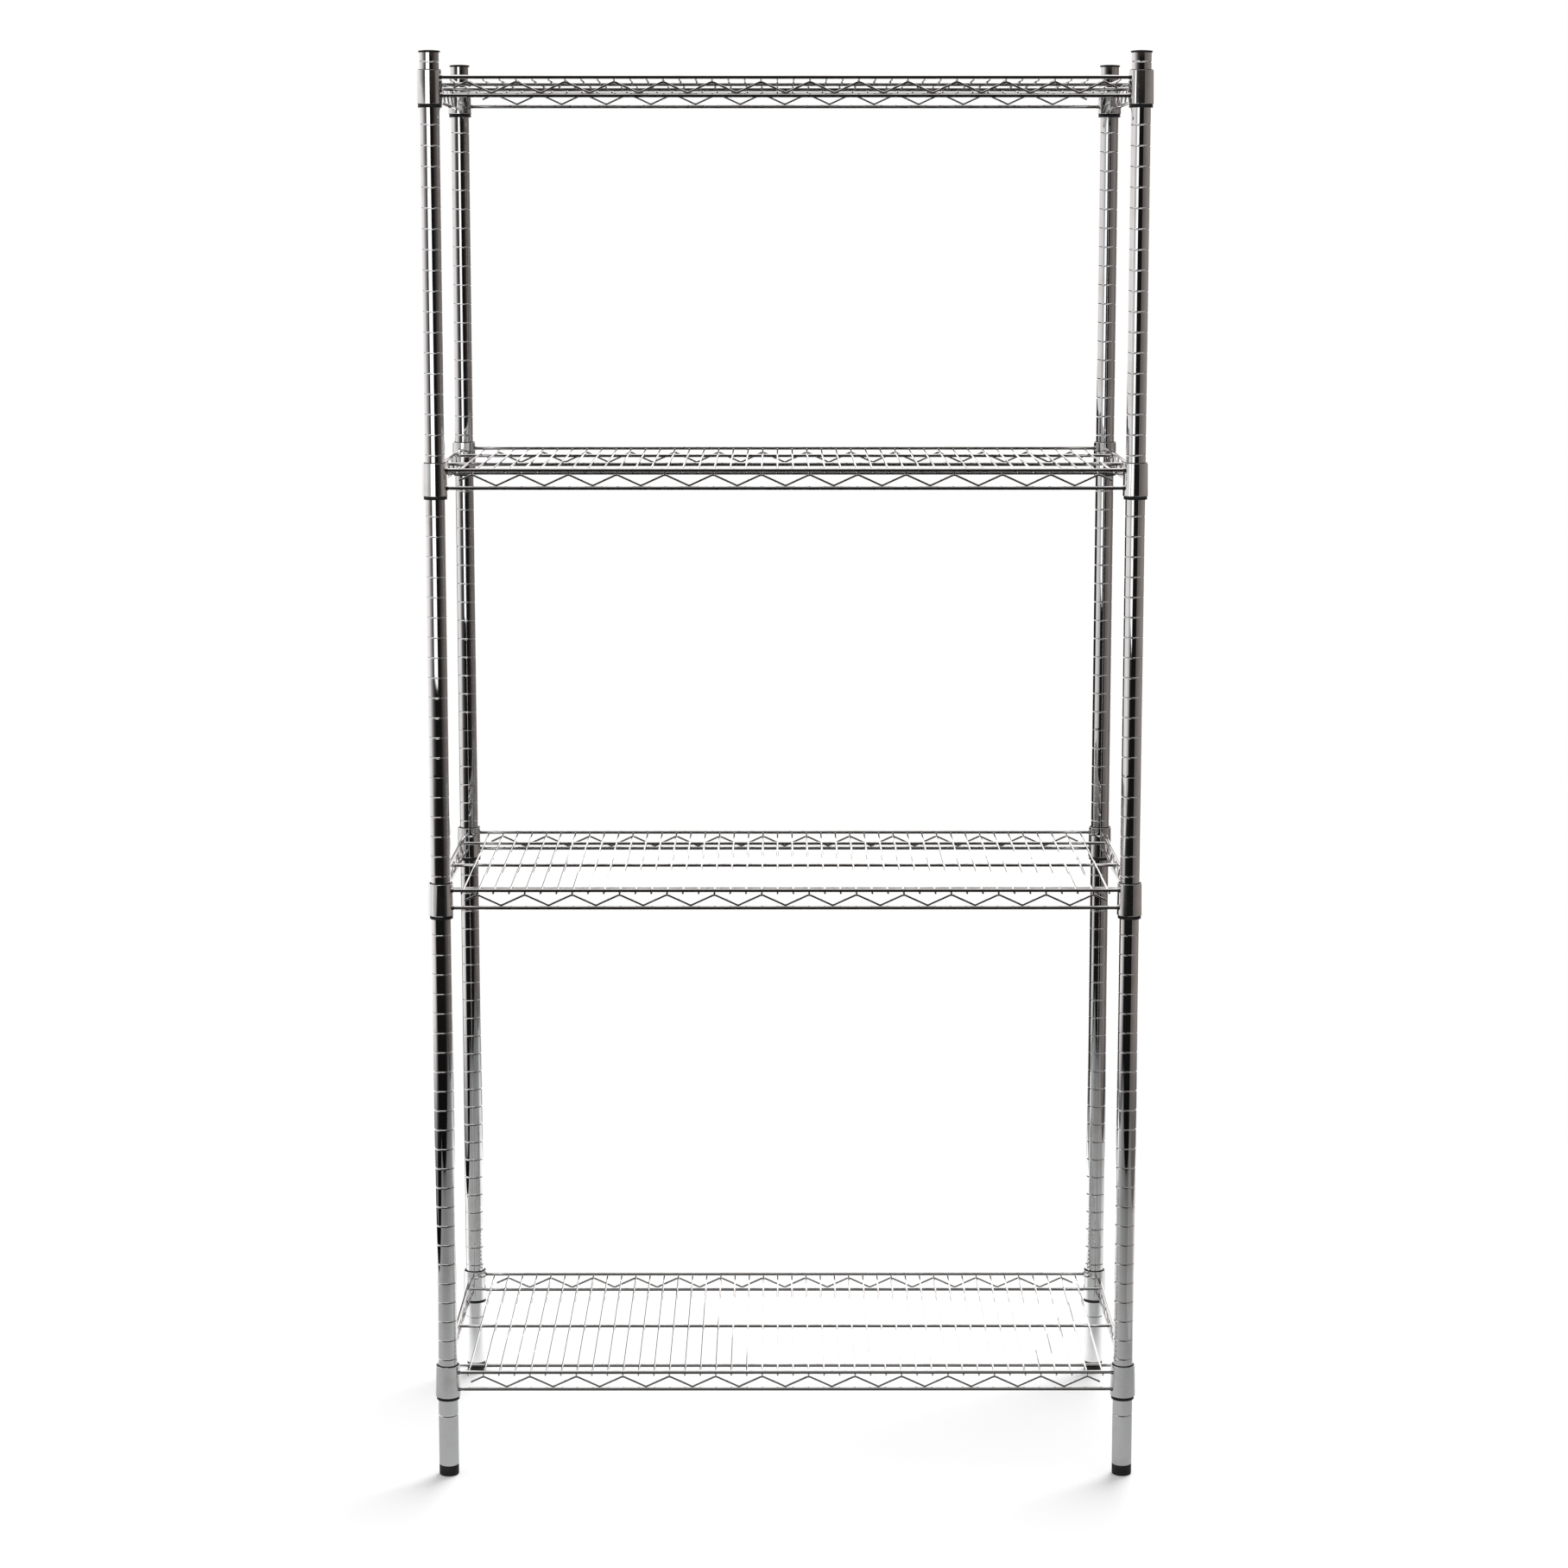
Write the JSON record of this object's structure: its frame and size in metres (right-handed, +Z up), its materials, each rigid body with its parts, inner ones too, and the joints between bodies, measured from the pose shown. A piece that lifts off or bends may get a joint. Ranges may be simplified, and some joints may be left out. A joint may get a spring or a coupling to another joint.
{
  "type": "wire shelving unit",
  "caption": "Free-standing chrome wire shelving unit: grooved posts carry lift-off wire shelves on split tapered clips, on screw-in levelling feet.",
  "frame": {"origin": "on the floor, at the middle of the four feet", "axes": "+Z up, +X to the right along the long side, +Y to the rear"},
  "size_m": [0.908, 0.451, 1.8228],
  "materials": {
    "chrome_post": "bright chrome plate on grooved steel tube",
    "chrome_sleeve": "bright chrome plate on a formed steel collar",
    "chrome_wire": "bright chrome plate on welded steel wire",
    "black_plastic": "black moulded plastic, fine satin grain",
    "plain_steel": "zinc plated threaded steel"
  },
  "bodies": {
    "posts": {"post_front_left_lower": "chrome_post", "post_front_left_upper": "chrome_post", "post_front_right_lower": "chrome_post", "post_front_right_upper": "chrome_post", "post_rear_left_lower": "chrome_post", "post_rear_left_upper": "chrome_post", "post_rear_right_lower": "chrome_post", "post_rear_right_upper": "chrome_post", "joiner_studs": "plain_steel", "joiner_sockets": "plain_steel", "foot_nuts": "plain_steel", "post_caps": "black_plastic", "tier_1_clips": "black_plastic", "tier_2_clips": "black_plastic", "tier_3_clips": "black_plastic", "tier_4_clips": "black_plastic"},
    "tier_1": {"tier_1_corner_sleeves": "chrome_sleeve", "tier_1_front_truss": "chrome_wire", "tier_1_rear_truss": "chrome_wire", "tier_1_left_truss": "chrome_wire", "tier_1_right_truss": "chrome_wire", "tier_1_stringers": "chrome_wire", "tier_1_deck_wires": "chrome_wire"},
    "tier_2": {"tier_2_corner_sleeves": "chrome_sleeve", "tier_2_front_truss": "chrome_wire", "tier_2_rear_truss": "chrome_wire", "tier_2_left_truss": "chrome_wire", "tier_2_right_truss": "chrome_wire", "tier_2_stringers": "chrome_wire", "tier_2_deck_wires": "chrome_wire"},
    "tier_3": {"tier_3_corner_sleeves": "chrome_sleeve", "tier_3_front_truss": "chrome_wire", "tier_3_rear_truss": "chrome_wire", "tier_3_left_truss": "chrome_wire", "tier_3_right_truss": "chrome_wire", "tier_3_stringers": "chrome_wire", "tier_3_deck_wires": "chrome_wire"},
    "tier_4": {"tier_4_corner_sleeves": "chrome_sleeve", "tier_4_front_truss": "chrome_wire", "tier_4_rear_truss": "chrome_wire", "tier_4_left_truss": "chrome_wire", "tier_4_right_truss": "chrome_wire", "tier_4_stringers": "chrome_wire", "tier_4_deck_wires": "chrome_wire"},
    "foot_front_left": {"foot_pad_front_left": "black_plastic", "foot_stud_front_left": "plain_steel"},
    "foot_front_right": {"foot_pad_front_right": "black_plastic", "foot_stud_front_right": "plain_steel"},
    "foot_rear_left": {"foot_pad_rear_left": "black_plastic", "foot_stud_rear_left": "plain_steel"},
    "foot_rear_right": {"foot_pad_rear_right": "black_plastic", "foot_stud_rear_right": "plain_steel"}
  },
  "joints": [
    {"name": "tier_1_lift", "type": "slide", "parent": "posts", "child": "tier_1", "axis": [0, 0, 1], "range_m": [0, 0.589]},
    {"name": "tier_2_lift", "type": "slide", "parent": "posts", "child": "tier_2", "axis": [0, 0, 1], "range_m": [0, 0.487]},
    {"name": "tier_3_lift", "type": "slide", "parent": "posts", "child": "tier_3", "axis": [0, 0, 1], "range_m": [0, 0.436]},
    {"name": "tier_4_lift", "type": "slide", "parent": "posts", "child": "tier_4", "axis": [0, 0, 1], "range_m": [0, 0.08]},
    {"name": "foot_front_left_level", "type": "slide", "parent": "posts", "child": "foot_front_left", "axis": [0, 0, -1], "range_m": [0, 0.015]},
    {"name": "foot_front_right_level", "type": "slide", "parent": "posts", "child": "foot_front_right", "axis": [0, 0, -1], "range_m": [0, 0.015]},
    {"name": "foot_rear_left_level", "type": "slide", "parent": "posts", "child": "foot_rear_left", "axis": [0, 0, -1], "range_m": [0, 0.015]},
    {"name": "foot_rear_right_level", "type": "slide", "parent": "posts", "child": "foot_rear_right", "axis": [0, 0, -1], "range_m": [0, 0.015]}
  ]
}
